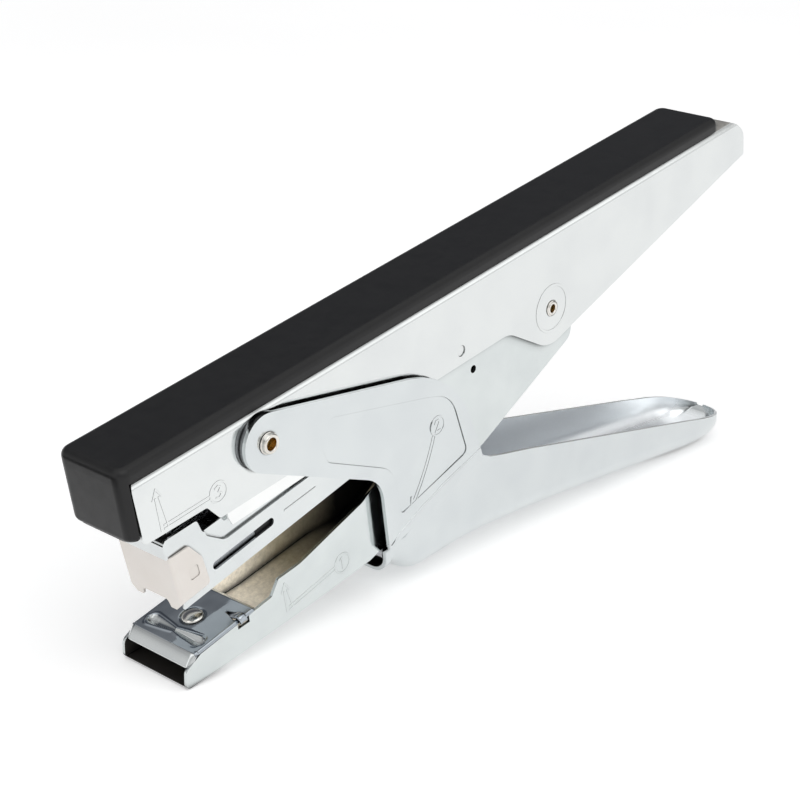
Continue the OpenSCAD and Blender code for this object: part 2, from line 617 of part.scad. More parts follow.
module nose_plate() color([0.87, 0.83, 0.8]) magazine_frame() {
    nose_t = 0.5;
    front = 9.3;
    difference() {
        intersection() {
            slab(2 * nose_half) polygon(outline([[front, -12.6, 0.3], [14.3, -12.9, 0.6], [16.7, -17, 1],
                [17.1, -23.3, 0.6], [15.9, -24.2, 0.5], [10.4, -24.2, 0.4], [10, -26, 0.2], [front, -26, 0.2]]));
            along(9, 18) polygon(outline([[-nose_half, -12.6, 0.3], [nose_half, -12.6, 0.3],
                [nose_half, -23.8, 0.5], [5.5, -26, 0.4], [4.1, -26, 0.3], [3.5, -24.1, 1],
                [-3.5, -24.1, 1], [-4.1, -26, 0.3], [-5.5, -26, 0.4], [-nose_half, -23.8, 0.5]]));
            translate([0, 0, -far / 2]) linear_extrude(far / 2 - 12) polygon(outline([[front, -nose_half, 0.9],
                [18, -nose_half, 0], [18, nose_half, 0], [front, nose_half, 0.9]]));
        }
        translate([front + nose_t + 0.1, -nose_half + nose_t, -30]) cube([10, 2 * (nose_half - nose_t), 20]);
        // square coined locks
        both_sides() plate(-nose_half - 1, -nose_half + 0.2)
            polygon(outline([[12.8, -17.7, 0.6], [15.3, -17.7, 0.6], [15.3, -20.4, 0.6], [12.8, -20.4, 0.6]]));
    }
}

rail_top = -19.8;
strip_top = mag_floor + mag_t + staple_h + 0.1;

module staple_rail() color([0.7, 0.71, 0.72]) magazine_frame() {
    rail_t = 0.6;
    half = crown_w / 2 - 0.75;
    difference() {
        slab(2 * half) polygon(outline([[throat_back, rail_top, 0.4], [107, rail_top, 0],
            [107, mag_floor + mag_t, 0], [throat_back + 0.4, mag_floor + mag_t, 0]]));
        translate([0, -half + rail_t, mag_floor - 1]) cube([200, 2 * (half - rail_t), rail_top - rail_t - mag_floor + 1]);
    }
}

module staple_strip() color([0.62, 0.63, 0.65]) magazine_frame() {
    wire_t = 0.5;
    half = crown_w / 2;
    low = strip_top - staple_h;
    difference() {
        along(throat_back + 0.1, throat_back + 0.1 + strip_len)
            polygon(outline([[-half, strip_top, 0.4], [half, strip_top, 0.4], [half, low, 0], [-half, low, 0]]));
        along(throat_back - 1, throat_back + 1 + strip_len)
            translate([-half + wire_t, low - 1]) square([crown_w - 2 * wire_t, staple_h - wire_t + 1]);
    }
}

pusher_x = throat_back + 0.3 + strip_len;
rod_z = -15.6;
rod_r = 1.1;
rod_end = 108;

module pusher() color([0.12, 0.12, 0.13]) magazine_frame() {
    half = crown_w / 2 - 0.1;
    low = mag_floor + mag_t + 0.15;
    difference() {
        union() {
            along(pusher_x, pusher_x + 9)
                polygon(outline([[-half, strip_top, 0.3], [half, strip_top, 0.3], [half, low, 0], [-half, low, 0]]));
            along(pusher_x + 2, pusher_x + 8)
                polygon(outline([[-2.6, -13.2, 1], [2.6, -13.2, 1], [3, -19.1, 0], [-3, -19.1, 0]]));
        }
        along(0, 200) translate([-half + 0.45, mag_floor]) square([2 * half - 0.9, rail_top + 0.08 - mag_floor]);
        translate([0, 0, rod_z]) rotate([0, 90, 0]) cylinder(r = rod_r + fit, h = 200);
    }
}

module pusher_rod() color("silver") magazine_frame() {
    translate([17, 0, rod_z]) rotate([0, 90, 0]) cylinder(r = rod_r, h = rod_end + 1.9 - 17);
    translate([16, 0, rod_z]) rotate([0, 90, 0]) cylinder(r = 1.7, h = 1);
}

module rod_bracket() color("silver") magazine_frame() difference() {
    translate([rod_end, 0, 0]) along(0, 1.2) polygon(outline([[-6.05, -13.6, 1], [6.05, -13.6, 1],
        [6.05, mag_floor + mag_t, 0], [-6.05, mag_floor + mag_t, 0]]));
    translate([0, 0, rod_z]) rotate([0, 90, 0]) cylinder(r = rod_r, h = 200);
}

module pusher_spring() color([0.6, 0.6, 0.62]) magazine_frame() {
    coil_r = 1.75;
    wire_r = 0.22;
    turns = 26;
    steps = 10;
    x0 = pusher_x + 8.3;
    x1 = rod_end - 0.3;
    wire([for (i = [0:turns * steps]) let(a = 360 * i / steps)
        [x0 + (x1 - x0) * i / (turns * steps), coil_r * cos(a), rod_z + coil_r * sin(a)]], wire_r, [1, 0, 0], 5);
}

stand() top_cover();
stand() upper_body();
stand() guide_rail();
stand() front_rivet();
stand() front_sleeve();
stand() pivot_washers();
stand() rear_rivet();
stand() rear_sleeve();
stand() driver_blade();
stand() driver_block();
stand() driver_rivets();
stand() magazine_spring();
stand() spring_rivet();
stand() arm_spring();
stand() lower_handle();
stand() lift_bar();
stand() anvil_arm();
stand() anvil_plate();
stand() anvil_rivet();
stand() magazine();
stand() nose_plate();
stand() staple_rail();
stand() staple_strip();
stand() pusher();
stand() pusher_rod();
stand() rod_bracket();
stand() pusher_spring();
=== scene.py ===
import json
import math
import bmesh
import bpy
from mathutils import Matrix, Vector
from mathutils.bvhtree import BVHTree


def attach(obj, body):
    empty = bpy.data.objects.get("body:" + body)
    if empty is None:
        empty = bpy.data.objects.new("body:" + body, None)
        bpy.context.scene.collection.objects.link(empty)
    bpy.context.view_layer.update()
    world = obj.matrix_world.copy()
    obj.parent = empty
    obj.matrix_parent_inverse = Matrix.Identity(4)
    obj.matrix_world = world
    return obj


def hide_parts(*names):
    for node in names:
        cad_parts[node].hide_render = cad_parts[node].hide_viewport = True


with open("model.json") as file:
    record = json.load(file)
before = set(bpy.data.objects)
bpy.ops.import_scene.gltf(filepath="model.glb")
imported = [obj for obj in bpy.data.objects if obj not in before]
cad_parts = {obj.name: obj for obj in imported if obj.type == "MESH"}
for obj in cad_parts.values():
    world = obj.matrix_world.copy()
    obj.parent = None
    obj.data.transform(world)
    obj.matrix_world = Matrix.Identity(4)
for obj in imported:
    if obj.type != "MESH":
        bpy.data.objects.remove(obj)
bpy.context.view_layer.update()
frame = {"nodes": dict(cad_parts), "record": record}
NODES = frame["nodes"]
BEHAVIOUR = frame["record"]["behaviour"]
BODY_OF = {n: b for b, ns in BEHAVIOUR["bodies"].items() for n in ns}
SLOT_OF = {s["node"]: s["material_slot"] for s in frame["record"]["subparts"]}
MM = 0.001

# The design's own frame, in millimetres: X from nose to tail, Z square to the cover's top, Y across.
# Its two pivots, FRONT and REAR, place it in the frame that the parts were packed in.
PIVOTS = {j["name"]: Vector(j["pos_m"]) for j in BEHAVIOUR["joints"] if j["type"] == "hinge"}
FRONT, REAR = Vector((34.9, 0, -10.2)), Vector((126.8, 0, -21.8))


def heading(v):
    return math.atan2(v.z, v.x)


TILT = heading(PIVOTS["arm_lift"] - PIVOTS["handle_squeeze"]) - heading(REAR - FRONT)
TOOL = (Matrix.Translation(PIVOTS["handle_squeeze"]) @ Matrix.Rotation(-TILT, 4, "Y")
        @ Matrix.Scale(MM, 4) @ Matrix.Translation(-FRONT))

# ---------- shader nodes ----------


def node(nt, kind, **settings):
    """A new shader node. A setting is an input's value where the node has such an input, else a property."""
    n = nt.nodes.new(kind)
    for k, v in settings.items():
        if k in n.inputs.keys():
            n.inputs[k].default_value = v
        else:
            setattr(n, k, v)
    return n


def feed(nt, socket, value):
    """Links an output to socket, or sets socket to a plain value."""
    if isinstance(value, bpy.types.NodeSocket):
        nt.links.new(value, socket)
    else:
        socket.default_value = value


def maths(nt, operation, *values):
    n = node(nt, "ShaderNodeMath", operation=operation)
    for socket, value in zip(n.inputs, values):
        feed(nt, socket, value)
    return n.outputs[0]


def mix(nt, factor, a, b, blend="MIX"):
    """Colour a, turned into b as factor goes from 0 to 1."""
    n = node(nt, "ShaderNodeMix", data_type="RGBA", blend_type=blend)
    for socket, value in ((n.inputs["Factor"], factor), (n.inputs[6], a), (n.inputs[7], b)):
        feed(nt, socket, value)
    return n.outputs[2]


def remap(nt, value, low, high, to=(0.0, 1.0), kind="LINEAR"):
    """Takes value from the span low to high to the span to."""
    n = node(nt, "ShaderNodeMapRange", interpolation_type=kind)
    for name, v in (("From Min", low), ("From Max", high), ("To Min", to[0]), ("To Max", to[1])):
        n.inputs[name].default_value = v
    nt.links.new(value, n.inputs["Value"])
    return n.outputs["Result"]


def xyz(nt, vector):
    split = node(nt, "ShaderNodeSeparateXYZ")
    nt.links.new(vector, split.inputs["Vector"])
    return split.outputs


def rgba(c):
    """An opaque colour from three values, or a grey from one."""
    return (*c, 1) if isinstance(c, tuple) else (c, c, c, 1)


def colour_ramp(nt, fac, stops):
    """A ramp of fac through stops of (position, colour)."""
    r = node(nt, "ShaderNodeValToRGB")
    marks = r.color_ramp.elements
    while len(marks) < len(stops):
        marks.new(0.5)
    for mark, (position, c) in zip(marks, stops):
        mark.position = position
        mark.color = rgba(c)
    nt.links.new(fac, r.inputs["Fac"])
    return r.outputs["Color"]


def ramp(nt, fac, a, b, lo=0.3, hi=0.7):
    """Colour or grey from a to b as fac goes from lo to hi."""
    return colour_ramp(nt, fac, [(lo, a), (hi, b)])


def noise(nt, scale, detail=3, stretch=(1, 1, 1), rough=0.5):
    """Noise in metres of the object's own coordinates, so it moves with the piece."""
    co = node(nt, "ShaderNodeTexCoord")
    mp = node(nt, "ShaderNodeMapping")
    mp.inputs["Scale"].default_value = stretch
    nt.links.new(co.outputs["Object"], mp.inputs["Vector"])
    n = node(nt, "ShaderNodeTexNoise", Scale=scale, Detail=detail, Roughness=rough)
    nt.links.new(mp.outputs["Vector"], n.inputs["Vector"])
    return n.outputs["Fac"]


def bump(nt, shader, layers):
    """layers: (height socket, strength, distance in metres), chained."""
    last = None
    for fac, strength, dist in layers:
        b = node(nt, "ShaderNodeBump", Strength=strength, Distance=dist)
        nt.links.new(fac, b.inputs["Height"])
        if last:
            nt.links.new(last, b.inputs["Normal"])
        last = b.outputs["Normal"]
    nt.links.new(last, shader.inputs["Normal"])


def painted_gap_shade(nt, colour, reach, open_at=0.82, floor=0.06):
    """Painted shade: darkens a colour by ambient occlusion in gaps and corners, where shade falls."""
    ao = node(nt, "ShaderNodeAmbientOcclusion", Distance=reach * MM)
    ao.samples = 8
    return mix(nt, 1.0, colour, ramp(nt, ao.outputs["AO"], floor, 1.0, 0.45, open_at), "MULTIPLY")


HALF_ROW = 100      # the colours along the row are given from -HALF_ROW to HALF_ROW millimetres


def along_row(nt, stops):
    """Colour by the object's own X, from stops of (millimetres, colour)."""
    co = node(nt, "ShaderNodeTexCoord")
    place = remap(nt, xyz(nt, co.outputs["Object"])["X"], -HALF_ROW * MM, HALF_ROW * MM)
    return colour_ramp(nt, place, [((x + HALF_ROW) / (2 * HALF_ROW), c) for x, c in stops])


def inside_share(nt, wall):
    """1 on faces that look into a channel, towards its middle or up from its floor; 0 on the outside."""
    co = node(nt, "ShaderNodeTexCoord")
    at, facing = xyz(nt, co.outputs["Object"]), xyz(nt, co.outputs["Normal"])
    outward = maths(nt, "MULTIPLY", maths(nt, "SIGN", at["Y"]), facing["Y"])
    inward = maths(nt, "MULTIPLY", outward, -1)
    # the walls' own top edges, further out than wall, stay bright
    within = maths(nt, "LESS_THAN", maths(nt, "ABSOLUTE", at["Y"]), wall * MM)
    upward = maths(nt, "MULTIPLY", within, facing["Z"])
    return remap(nt, maths(nt, "MAXIMUM", inward, upward), 0.4, 0.8, kind="SMOOTHSTEP")

# ---------- materials ----------


def new_material(name):
    m = bpy.data.materials.new(name)
    m.use_nodes = True
    return m, m.node_tree, m.node_tree.nodes["Principled BSDF"]


def plated(name, colour, dark, rough, wave=0.25, wave_scale=38, inside_colours=None, wall=8.3, reach=1.1,
           open_at=0.82, frosted=True):
    """Bright nickel or chrome plate on pressed sheet: faint waves, haze and fine scratches.

    With inside colours, faces that look into a channel are coloured by place along the row, which paints
    light and shade on the arm's and handle's insides, and are dull where frosted.
    """
    m, nt, s = new_material(name)
    s.inputs["Metallic"].default_value = 1.0
    tone = ramp(nt, noise(nt, 90, 4), dark, colour, 0.25, 0.6)
    haze = ramp(nt, noise(nt, 260, 5), rough * 0.7, rough * 1.35)
    if inside_colours:
        share = inside_share(nt, wall)
        grain_dark, bare_metal, bare_rough = (0.72, 0.15, 0.4) if frosted else (0.97, 0.8, 0.28)
        grain = ramp(nt, noise(nt, 900, 5, rough=0.75), grain_dark, 1.0, 0.35, 0.62)
        # faces inside a channel take the colours by place: painted light and shade on the arm and handle
        tone = mix(nt, share, tone, mix(nt, 1.0, along_row(nt, inside_colours), grain, "MULTIPLY"))
        nt.links.new(remap(nt, share, 0, 1, (1.0, bare_metal)), s.inputs["Metallic"])
        haze = mix(nt, share, haze, rgba(bare_rough))
    # painted shade in the gaps and corners, out to reach millimetres
    nt.links.new(painted_gap_shade(nt, tone, reach, open_at), s.inputs["Base Color"])
    nt.links.new(haze, s.inputs["Roughness"])
    bump(nt, s, [(noise(nt, wave_scale, 2), wave, 0.0004),
                 (noise(nt, 900, 2, (0.12, 1, 1)), 0.03, 0.00004)])
    return m


def painted(name, colour, dark, rough, grain, grain_strength, coat, specular):
    """Moulded plastic or paint with a fine grain."""
    m, nt, s = new_material(name)
    tone = ramp(nt, noise(nt, 130, 4), dark, colour, 0.3, 0.65)
    # painted shade in the gaps and corners
    nt.links.new(painted_gap_shade(nt, tone, 0.6, floor=0.35), s.inputs["Base Color"])
    s.inputs["Specular IOR Level"].default_value = specular
    nt.links.new(ramp(nt, noise(nt, 420, 4), rough * 0.85, rough * 1.15), s.inputs["Roughness"])
    s.inputs["Coat Weight"].default_value = coat
    s.inputs["Coat Roughness"].default_value = 0.25
    bump(nt, s, [(noise(nt, grain, 2), grain_strength, 0.00005)])
    return m


# Colours of the insides, by place along the row in millimetres. On the arm, the black is painted shade, the
# cream a painted pool of light, and the bronze the painted fall between them. The handle has painted shade at
# its front and is pale blue inside the grip. The body is an even darker grey inside.
PAINTED_LIGHT, PAINTED_HALF_SHADE, SHADE = (1.0, 0.93, 0.80), (0.42, 0.37, 0.26), (0.012, 0.011, 0.01)
DULL_GREY, GRIP_BLUE = (0.30, 0.29, 0.27), (0.95, 0.98, 1.0)
ARM_INSIDE_LIGHT_AND_SHADE = [(-100, SHADE), (-85.5, SHADE), (-76, (0.5, 0.47, 0.42)), (-69, PAINTED_LIGHT), (-60, PAINTED_LIGHT),
              (-47, PAINTED_HALF_SHADE), (-31, SHADE), (100, SHADE)]
HANDLE_INSIDE_COLOURS = [(-100, SHADE), (-8, SHADE), (22, GRIP_BLUE), (100, GRIP_BLUE)]
BODY_INSIDE_COLOURS = [(-100, DULL_GREY), (100, DULL_GREY)]

MAT = {
    "black_plastic": painted("cover_black", (0.013, 0.013, 0.0135), (0.011, 0.011, 0.0115), 0.34,
                             3000, 0.06, 0.0, 0.26),
    "chrome_body": plated("plate_body", (0.72, 0.74, 0.735), (0.68, 0.70, 0.70), 0.15, inside_colours=BODY_INSIDE_COLOURS),
    "chrome_arm": plated("plate_arm", (0.66, 0.695, 0.69), (0.60, 0.635, 0.635), 0.14, inside_colours=ARM_INSIDE_LIGHT_AND_SHADE,
                         reach=2.2, open_at=0.92),
    "chrome_handle": plated("plate_handle", (0.65, 0.68, 0.685), (0.61, 0.64, 0.65), 0.17, 0.3, 30,
                            inside_colours=HANDLE_INSIDE_COLOURS, wall=9.6, frosted=False),
    "chrome_magazine": plated("plate_magazine", (0.69, 0.715, 0.715), (0.64, 0.665, 0.67), 0.13),
    "rivet_nickel": plated("rivet_plate", (0.78, 0.76, 0.72), (0.66, 0.63, 0.58), 0.15, 0.15, 300, reach=0.5),
    "brass": plated("rivet_brass", (0.78, 0.57, 0.26), (0.46, 0.31, 0.11), 0.25, 0.15, 300, reach=1.2),
    "plain_steel": plated("steel_sheet", (0.52, 0.52, 0.54), (0.42, 0.42, 0.44), 0.3, 0.2, 120),
    "spring_steel": plated("steel_spring", (0.50, 0.52, 0.56), (0.38, 0.40, 0.44), 0.24, 0.1, 400),
    "anvil_steel": plated("plate_anvil", (0.44, 0.48, 0.52), (0.38, 0.42, 0.46), 0.06, 0.2, 90, reach=0.5),
    "rail_bright": plated("plate_rail", (0.86, 0.87, 0.86), (0.80, 0.81, 0.81), 0.12),
    "washer_dark": plated("plate_washer", (0.30, 0.31, 0.32), (0.22, 0.23, 0.24), 0.2),
    "cream_paint": painted("nose_cream", (0.72, 0.68, 0.64), (0.69, 0.645, 0.60), 0.36,
                           1800, 0.12, 0.25, 0.5),
    "staple_wire": plated("wire_staple", (0.33, 0.345, 0.36), (0.25, 0.26, 0.275), 0.3, 0.1, 700),
    "pusher_black": painted("pusher_black", (0.02, 0.02, 0.021), (0.016, 0.016, 0.017), 0.5,
                            2200, 0.15, 0.0, 0.4),
}

# Each node looks like its slot's material, but for three that have a look of their own
LOOK_OF = {**SLOT_OF, "anvil_arm": "chrome_arm", "pivot_washers": "washer_dark", "guide_rail": "rail_bright"}


def paint(obj, *looks):
    # clearing the slots of a new piece would reset its faces' material numbers
    if obj.data.materials:
        obj.data.materials.clear()
    for look in looks:
        obj.data.materials.append(MAT[look])


for name, obj in NODES.items():
    paint(obj, LOOK_OF[name])

# ---------- pieces ----------


def stands_for(obj, name):
    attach(obj, BODY_OF[name])
    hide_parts(name)
    return obj


def mesh_object(name, bm, matrix):
    """A smooth object from a bmesh that is drawn in the frame of matrix."""
    for f in bm.faces:
        f.smooth = True
    me = bpy.data.meshes.new(name)
    bm.to_mesh(me)
    bm.free()
    me.transform(matrix)
    obj = bpy.data.objects.new(name, me)
    bpy.context.collection.objects.link(obj)
    return obj


def new_piece(name, bm, matrix=TOOL):
    """A mesh_object whose faces are first turned to look outwards."""
    bmesh.ops.recalc_face_normals(bm, faces=bm.faces)
    return mesh_object(name, bm, matrix)


# How far the side faces that carry pressed marks lie from the middle plane: what stands proud is a mark
MARKED_FACE = {"upper_body": 8.95, "anvil_arm": 9.4}
# The recessed panel of the handle's near cheek, and the curved arrow pressed into it
PANEL_FACE = 10.6
MARK_HEIGHT = 0.2
TURN_MARK_RADII = (50.5, 54.9)      # about the front pivot
TURN_MARK_ANGLES = (-44.6, -20)     # degrees, from the design's X
MARK_KEPT = 0.33                    # the share of its height that a mark keeps


def on_turn_mark(p):
    """Whether p is a raised corner of the curved arrow."""
    q = TOOL.inverted() @ p
    out = q - FRONT
    radius, turn = math.hypot(out.x, out.z), math.degrees(heading(out))
    return (abs(q.y + PANEL_FACE + MARK_HEIGHT) < 0.01 and TURN_MARK_RADII[0] < radius < TURN_MARK_RADII[1]
            and TURN_MARK_ANGLES[0] < turn < TURN_MARK_ANGLES[1])


def lower_marks(bm, name):
    """Presses the marks on a CAD node's sides down to the height that they have on thin sheet."""
    if name == "lower_handle":
        for v in bm.verts:
            if on_turn_mark(v.co):
                v.co.y = -(PANEL_FACE + MARK_KEPT * MARK_HEIGHT) * MM
    elif name in MARKED_FACE:
        face = MARKED_FACE[name] * MM
        for v in bm.verts:
            proud = abs(v.co.y) - face
            if proud > 0:
                v.co.y = math.copysign(face + MARK_KEPT * proud, v.co.y)


def broken_edges(name, width):
    """A copy of a CAD node with its sharp edges broken, as pressed and moulded parts have."""
    me = NODES[name].data.copy()
    bm = bmesh.new()
    bm.from_mesh(me)
    bmesh.ops.remove_doubles(bm, verts=bm.verts, dist=2e-6)
    bmesh.ops.dissolve_limit(bm, angle_limit=math.radians(0.6), verts=bm.verts, edges=bm.edges)
    for f in bm.faces:
        f.smooth = True
    lower_marks(bm, name)
    bm.to_mesh(me)
    bm.free()
    obj = bpy.data.objects.new(name + "_finish", me)
    bpy.context.collection.objects.link(obj)
    if me.attributes.get("custom_normal"):
        me.attributes.remove(me.attributes["custom_normal"])
    edge = obj.modifiers.new("edge", "BEVEL")
    edge.width = width * MM
    edge.segments = 2
    edge.limit_method = "ANGLE"
    edge.angle_limit = math.radians(32)
    edge.use_clamp_overlap = True
    soft = obj.modifiers.new("normals", "WEIGHTED_NORMAL")
    soft.keep_sharp = True
    soft.weight = 80
    paint(obj, LOOK_OF[name])
    return stands_for(obj, name)


TURNS = 72      # steps of a full turn on turned parts


def lathe(bm, profile, centre, out):
    """Revolves (radius, height) about the Y axis through centre, with height along out * Y. Returns faces."""
    rings = []
    for r, h in profile:
        y = centre[1] + out * h
        steps = TURNS if r > 0 else 1
        rings.append([bm.verts.new((centre[0] + r * math.cos(2 * math.pi * k / TURNS), y,
                                    centre[2] + r * math.sin(2 * math.pi * k / TURNS)))
                      for k in range(steps)])
    made = []
    for a, b in zip(rings, rings[1:]):
        for k in range(TURNS):
            n = (k + 1) % TURNS
            if len(b) == 1:
                made.append(bm.faces.new((a[k], a[n], b[0])))
            elif len(a) == 1:
                made.append(bm.faces.new((a[0], b[n], b[k])))
            else:
                made.append(bm.faces.new((a[k], a[n], b[n], b[k])))
    return made


def rolled_rivet(name, pivot, seat, collar_r, hole_r, proud, flange_r, depth):
    """A tubular rivet, on both sides of the tool: its end is rolled over round a deep hole, brass inside."""
    lip, mid = (collar_r - hole_r) / 2, (collar_r + hole_r) / 2
    lip_foot = proud - lip * 0.8
    outside = [(0, -1.2), (collar_r * 0.8, -1.2), (collar_r * 0.8, -0.02), (flange_r, -0.01),
               (flange_r, 0.16), (flange_r - 0.06, 0.22), (collar_r + 0.02, 0.26), (collar_r, 0.32),
               (collar_r, lip_foot)]
    rolled = [(mid + lip * math.cos(a), lip_foot + lip * 0.8 * math.sin(a))
              for a in [math.pi * k / 12 for k in range(1, 12)]]
    hole = [(hole_r, lip_foot), (hole_r, -depth), (hole_r * 0.8, -depth - 0.3),
            (hole_r * 0.42, -depth - 0.34), (hole_r * 0.3, -depth + 0.2), (0, -depth + 0.25)]
    first_brass = (len(outside) + len(rolled)) * TURNS
    bm = bmesh.new()
    for out in (-1, 1):
        faces = lathe(bm, outside + rolled + hole, (pivot.x, out * seat, pivot.z), out)
        for f in faces[first_brass:]:
            f.material_index = 1
    obj = new_piece(name + "_finish", bm)
    paint(obj, "rivet_nickel", "brass")
    return stands_for(obj, name)


rolled_rivet("front_rivet", FRONT, seat=10.85, collar_r=2.08, hole_r=1.3, proud=1.12, flange_r=2.34,
             depth=0.9)
rolled_rivet("rear_rivet", REAR, seat=8.97, collar_r=1.62, hole_r=0.95, proud=0.42, flange_r=1.88,
             depth=0.6)

# ---------- anvil ----------

# The anvil plate's own frame: X back from its front bend, Y across, Z up from its top
ANVIL = TOOL @ Matrix.Translation((10.4, 0, -46.1)) @ Matrix.Rotation(math.radians(-4), 4, "Y")
PLATE_LENGTH = 17.0
PLATE_HALF = 9.35           # half its width
PLATE_RISE = 0.12           # how far it sits above the CAD's plate
BEND = 0.5                  # reach of the bend between the lip and the top
TROUGH_X = 2.7              # the bow tie's middle line
TROUGH_REACH = 7.9          # how far the bow tie runs to each side
DOME_X, DOME_R, DOME_HEIGHT = 7.6, 2.3, 0.93
HOOK_X = 12.3
HOOK_HOLE = (4.9, 8.5)      # from its point to its wide end, across
GRID = 150                  # steps of the plate's grid, each way


def smooth01(t):
    t = min(1.0, max(0.0, t))
    return t * t * (3 - 2 * t)


def side_roll(y):
    """How far the plate's sides roll down over the arm's walls."""
    return 0.5 * smooth01((abs(y) - 8.75) / 0.6) ** 2


def trough_half(y):
    """Half the length, along the tool, of the bow tie's opening at y across."""
    along = abs(y) / TROUGH_REACH
    half = 0.42 + 1.35 * min(1.0, along) ** 0.85
    return half * math.sqrt(max(0.0, 1 - max(0.0, (along - 0.78) / 0.22) ** 2))


def in_trough(x, y):
    return abs(y) < TROUGH_REACH and abs(x - TROUGH_X) < trough_half(y) * 0.85


def hook_hole(x, y):
    """Inside the opening that each hook is lanced from: pointed towards the middle."""
    t = (abs(y) - HOOK_HOLE[0]) / (HOOK_HOLE[1] - HOOK_HOLE[0])
    return 0 < t < 1 and abs(x - HOOK_X) < 0.25 + 1.0 * t


def anvil_surface(x, y):
    """Height of the anvil's top: a bow tie of two troughs with raised rims, and a ring round the rivet."""
    along = abs(y) / TROUGH_REACH
    half = trough_half(y)
    off = abs(x - TROUGH_X)
    fade = 1 - smooth01((along - 0.97) / 0.1)
    z = 0.0
    if half > 0.02:
        depth = 0.25 + 0.62 * min(1.0, along * 1.5)
        z -= depth * (1 - smooth01(off / (half + 0.05))) * fade
    z += 0.07 * math.exp(-((off - half - 0.3) / 0.3) ** 2) * fade
    z -= 0.2 * math.exp(-((math.hypot(x - DOME_X, y) - DOME_R - 0.1) / 0.25) ** 2)
    rear_bend = smooth01((x - 15.6) / 1.4)
    return z - rear_bend - side_roll(y)


def plate_rows(across):
    """Points of the plate from the lip's foot to its rear edge, one row for each place along the tool."""
    rows = []
    # the front lip: a quarter bend, then a flat slope that flares at its foot
    for t in [k / 24 for k in range(24, 0, -1)]:
        x = -BEND - 2.15 * t - 0.3 * t ** 3
        z = -2.0 * t ** 1.35 + 0.12 * math.sin(math.pi * t)
        rows.append([(x + 0.55 * smooth01((abs(y) - 8.2) / 1.1), y, z - side_roll(y)) for y in across])
    for x in [-BEND + (PLATE_LENGTH + BEND) * i / GRID for i in range(GRID + 1)]:
        near = smooth01((x + BEND) / 0.6)
        rows.append([(x, y, anvil_surface(x, y) * near - side_roll(y) * (1 - near)) for y in across])
    return rows


def hooks(bm):
    """The tongues lanced from the plate and folded over the arm's walls."""
    path = [(5.0, -0.9), (6.2, -0.75), (7.4, -0.2), (8.4, 0.28), (9.1, 0.42), (9.5, 0.2), (9.58, -0.5)]
    for s in (-1, 1):
        rails = []
        for k, (y, z) in enumerate(path):
            half = 0.35 + 0.5 * min(1.0, k / 2)
            rails.append([bm.verts.new((HOOK_X + u * half, s * y, z - 0.12 * u * u))
                          for u in (-1, -0.6, 0, 0.6, 1)])
        for a, b in zip(rails, rails[1:]):
            for j in range(len(a) - 1):
                corners = (a[j], b[j], b[j + 1], a[j + 1])
                bm.faces.new(corners if s > 0 else corners[::-1])


def anvil_plate():
    across = [-PLATE_HALF + 2 * PLATE_HALF * j / GRID for j in range(GRID + 1)]
    bm = bmesh.new()
    rows = [[bm.verts.new(p) for p in row] for row in plate_rows(across)]
    for a, b in zip(rows, rows[1:]):
        for j in range(GRID):
            mid = (a[j].co + b[j + 1].co) / 2
            if not hook_hole(mid.x, mid.y):
                f = bm.faces.new((a[j], b[j], b[j + 1], a[j + 1]))
                f.material_index = int(mid.x < -0.55 or mid.x > 16.2 or in_trough(mid.x, mid.y))
    hooks(bm)
    obj = mesh_object("anvil_plate_finish", bm, ANVIL @ Matrix.Translation((0, 0, PLATE_RISE)))
    if sum(p.normal.z for p in obj.data.polygons) < 0:
        obj.data.flip_normals()
    sheet = obj.modifiers.new("sheet", "SOLIDIFY")
    sheet.thickness = 0.5 * MM
    sheet.offset = -1
    paint(obj, "anvil_steel", "chrome_magazine")
    return stands_for(obj, "anvil_plate")


def anvil_rivet():
    """The low dome that fastens the plate, closed below."""
    quarter = [math.pi / 2 * k / 12 for k in range(12)]
    profile = [(DOME_R * math.cos(a), DOME_HEIGHT * math.sin(a)) for a in quarter] + [(0, DOME_HEIGHT)]
    bm = bmesh.new()
    lathe(bm, profile, (0, 0, 0), 1)
    bmesh.ops.holes_fill(bm, edges=bm.edges)
    upright = Matrix.Translation((DOME_X, 0, 0)) @ Matrix.Rotation(math.radians(90), 4, "X")
    obj = new_piece("anvil_rivet_finish", bm, ANVIL @ upright)
    paint(obj, "rivet_nickel")
    return stands_for(obj, "anvil_rivet")


anvil_plate()
anvil_rivet()

# ---------- cover ----------


def plan_ring(bm, x0, x1, half, corner, z, cut=None):
    """A rounded rectangle in plan at height z; with cut, only its part in front of x = cut."""
    pts = []
    for cx, cy, start in ((x1 - corner, half - corner, 0), (x0 + corner, half - corner, 90),
                          (x0 + corner, corner - half, 180), (x1 - corner, corner - half, 270)):
        for k in range(17):
            a = math.radians(start + 90 * k / 16)
            x, y = cx + corner * math.cos(a), cy + corner * math.sin(a)
            if cut is not None and x > cut:
                in_corner = max(0.0, x0 + corner - cut)
                reach = half - corner + math.sqrt(max(0.0, corner ** 2 - in_corner ** 2))
                x, y = cut, math.copysign(min(abs(y), reach), y)
            pts.append(bm.verts.new((x, y, z)))
    return pts


def skin_rings(bm, rings):
    """Joins rings into a closed skin, with sharp edges round its two caps."""
    for a, b in zip(rings, rings[1:]):
        for k in range(len(a)):
            n = (k + 1) % len(a)
            bm.faces.new((a[k], a[n], b[n], b[k]))
    for cap in (bm.faces.new(rings[0]), bm.faces.new(rings[-1][::-1])):
        for e in cap.edges:
            e.smooth = False


def quarter_round(r, steps):
    """A rounded edge as pairs that go from (r, 0) to (0, r), the two distances from its full corner."""
    turn = [math.pi / 2 * k / steps for k in range(steps + 1)]
    return [(r * (1 - math.sin(t)), r * (1 - math.cos(t))) for t in turn]


